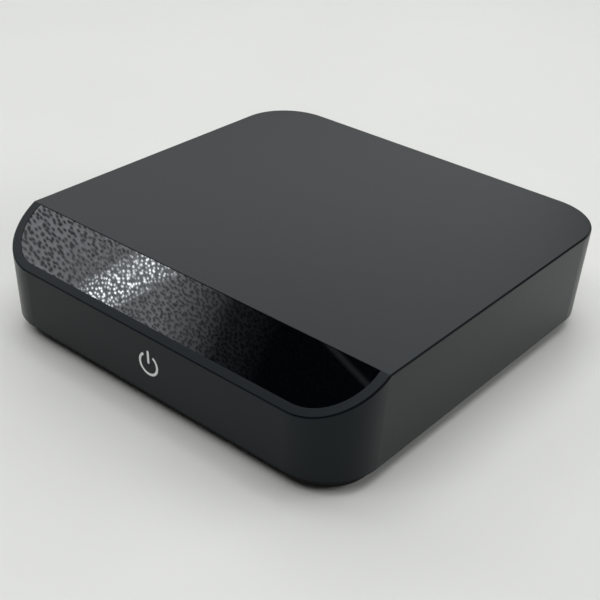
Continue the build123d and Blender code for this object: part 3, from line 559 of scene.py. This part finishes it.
# The lining stands where the camera looks by way of the panel; places are in metres
panel_middle = Vector((0, -0.060, 0.031))
lining_distance = 0.4
lining_far = Vector((-0.638, -0.06, 0.768)).normalized()
lining_along = Vector((0, 1, 0)).cross(lining_far).normalized()
lining_across = lining_far.cross(lining_along)
lining = flat_sheet("lining", rectangle(left=-0.12, right=0.16, near=-0.09, far=0.04), painted_lining_glow())
lining.matrix_world = (
    Matrix.Translation(panel_middle + lining_far * lining_distance)
    @ Matrix((lining_along, lining_across, lining_far)).transposed().to_4x4()
)
# The lining's glow is a painted reflection: only the panel receives it, and it casts no shadow
lining.visible_camera = False
lining.visible_diffuse = False
lining.visible_shadow = False
lining.light_linking.receiver_collection = linked("panel_only", nodes["touch_panel"])


def room(pale, dim, start, end):
    """Surroundings that the camera sees pale all over, and the part sees dim from start to end upwards."""
    world = bpy.data.worlds.new("room")
    scene.world = world
    world.use_nodes = True
    tree = world.node_tree
    axes = add(tree, "ShaderNodeSeparateXYZ")
    tree.links.new(add(tree, "ShaderNodeTexCoord").outputs["Generated"], axes.inputs["Vector"])
    seen = span(tree, add(tree, "ShaderNodeLightPath").outputs["Is Camera Ray"], 0, pale, 0, 1)
    felt = span(tree, axes.outputs["Z"], pale, dim, start, end)
    tree.links.new(calc(tree, "MAXIMUM", seen, felt), tree.nodes["Background"].inputs["Strength"])
    warm_white = (1.0, 1.0, 0.985, 1.0)
    tree.nodes["Background"].inputs["Color"].default_value = warm_white


room(pale=0.76, dim=0.015, start=0.06, end=0.2)


def lamp(name, turn, rise, width, depth, glow, distance=1.2, target=Vector()):
    """A soft lamp aimed at target from this distance, turn degrees from +X and rise degrees up."""
    light = bpy.data.lights.new(name, "AREA")
    light.shape = "RECTANGLE"
    light.size = width
    light.size_y = depth
    light.energy = glow * math.pi * width * depth
    holder = bpy.data.objects.new(name, light)
    around, over = math.radians(turn), math.radians(rise)
    aim = Vector((math.cos(around) * math.cos(over), math.sin(around) * math.cos(over), math.sin(over)))
    holder.location = target + aim * distance
    holder.rotation_euler = (-aim).to_track_quat("-Z", "Y").to_euler()
    scene.collection.objects.link(holder)
    return holder


lamp("rear_lamp", turn=90, rise=64, width=1.1, depth=0.9, glow=1.1)
lamp("over_lamp", turn=90, rise=89, width=1.1, depth=0.5, glow=2.8)
# The front lamp leaves the housing out, so that its edges stay dark
front_lamp = lamp("front_lamp", turn=-82, rise=62, width=1.1, depth=0.45, glow=3.6)
front_lamp.light_linking.receiver_collection = linked("all_but_housing", nodes["housing"], "EXCLUDE")
lamp("left_lamp", turn=150, rise=36, width=1.8, depth=0.62, glow=1.41)
lamp("low_lamp", turn=180, rise=18, width=1.0, depth=0.4, glow=0.8)
# One lamp for the floor alone, and a small one for the rim of the panel that lights the housing alone
floor_lamp = lamp("floor_lamp", turn=45, rise=20, width=0.9, depth=0.4, glow=5.4)
floor_lamp.light_linking.receiver_collection = linked("floor_only", floor)
rim_target = panel_middle + Vector((0.03, 0, 0))
rim_lamp = lamp(
    "rim_lamp", turn=190, rise=52, width=0.12, depth=0.3, glow=1.05, distance=0.3, target=rim_target
)
rim_lamp.light_linking.receiver_collection = linked("housing_only", nodes["housing"])

# Camera at the photograph's place: angles in degrees, focal length in pixels of a square frame
heading, rise, tilt = (math.radians(angle) for angle in (38.6274, 31.1135, 2.7634))
camera_place = Vector((203.169, -255.469, 203.475)) * MM
focal = 1144.38
frame_side = 600
sensor = 36.0
back = Vector((math.sin(heading) * math.cos(rise), -math.cos(heading) * math.cos(rise), math.sin(rise)))
level = Vector((math.cos(heading), math.sin(heading), 0))
upright = back.cross(level)
right = level * math.cos(tilt) + upright * math.sin(tilt)
up = upright * math.cos(tilt) - level * math.sin(tilt)
lens = bpy.data.cameras.new("camera")
lens.sensor_width = sensor
lens.lens = focal / frame_side * sensor
lens.clip_start = 0.01
camera = bpy.data.objects.new("camera", lens)
camera.matrix_world = Matrix.Translation(camera_place) @ Matrix((right, up, back)).transposed().to_4x4()
scene.collection.objects.link(camera)
scene.camera = camera
